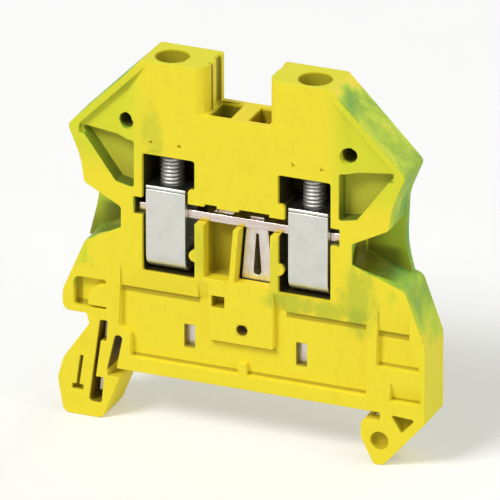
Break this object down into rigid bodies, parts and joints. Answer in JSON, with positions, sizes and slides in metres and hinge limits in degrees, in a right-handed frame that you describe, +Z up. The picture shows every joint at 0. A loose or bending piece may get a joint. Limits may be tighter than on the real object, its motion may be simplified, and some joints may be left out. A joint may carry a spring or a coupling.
{
  "type": "earth terminal block",
  "caption": "Slim rail-mounted earth terminal block: a moulded housing open on one side, with screw-driven cage clamps on a current bar and a stamped foot that earths to the rail.",
  "frame": {"origin": "middle of the rail seat: the rail's centre line, on top of its flanges, halfway through the block's thickness", "axes": "+Z up from the rail, +Y along the rail towards the closed side wall, +X across the rail towards the fixed foot"},
  "size_m": [0.0476, 0.0062, 0.048],
  "materials": {
    "housing_plastic": "satin moulded, mottled green and yellow",
    "bar_metal": "tin plated, satin",
    "foot_metal": "tin plated, satin",
    "cage_steel": "zinc plated, satin",
    "screw_steel": "zinc plated, satin"
  },
  "bodies": {
    "block": {"housing": "housing_plastic", "current_bar": "bar_metal", "earth_foot": "foot_metal"},
    "left_cage": {"left_cage": "cage_steel"},
    "right_cage": {"right_cage": "cage_steel"},
    "left_screw": {"left_screw": "screw_steel"},
    "right_screw": {"right_screw": "screw_steel"}
  },
  "joints": [
    {"name": "left_screw_turn", "type": "hinge", "parent": "block", "child": "left_screw", "pos_m": [-0.0101, -0.0005, 0.03], "axis": [0, 0, -1], "range_deg": [0, 2736]},
    {"name": "right_screw_turn", "type": "hinge", "parent": "block", "child": "right_screw", "pos_m": [0.0083, -0.0005, 0.03], "axis": [0, 0, -1], "range_deg": [0, 2736]},
    {"name": "left_cage_lift", "type": "slide", "parent": "block", "child": "left_cage", "axis": [0, 0, 1], "range_m": [0, 0.0038]},
    {"name": "right_cage_lift", "type": "slide", "parent": "block", "child": "right_cage", "axis": [0, 0, 1], "range_m": [0, 0.0038]}
  ],
  "couplings": [
    {"joint": "left_screw_turn", "follows": "left_cage_lift", "rad_per_m": 12566},
    {"joint": "right_screw_turn", "follows": "right_cage_lift", "rad_per_m": 12566}
  ]
}
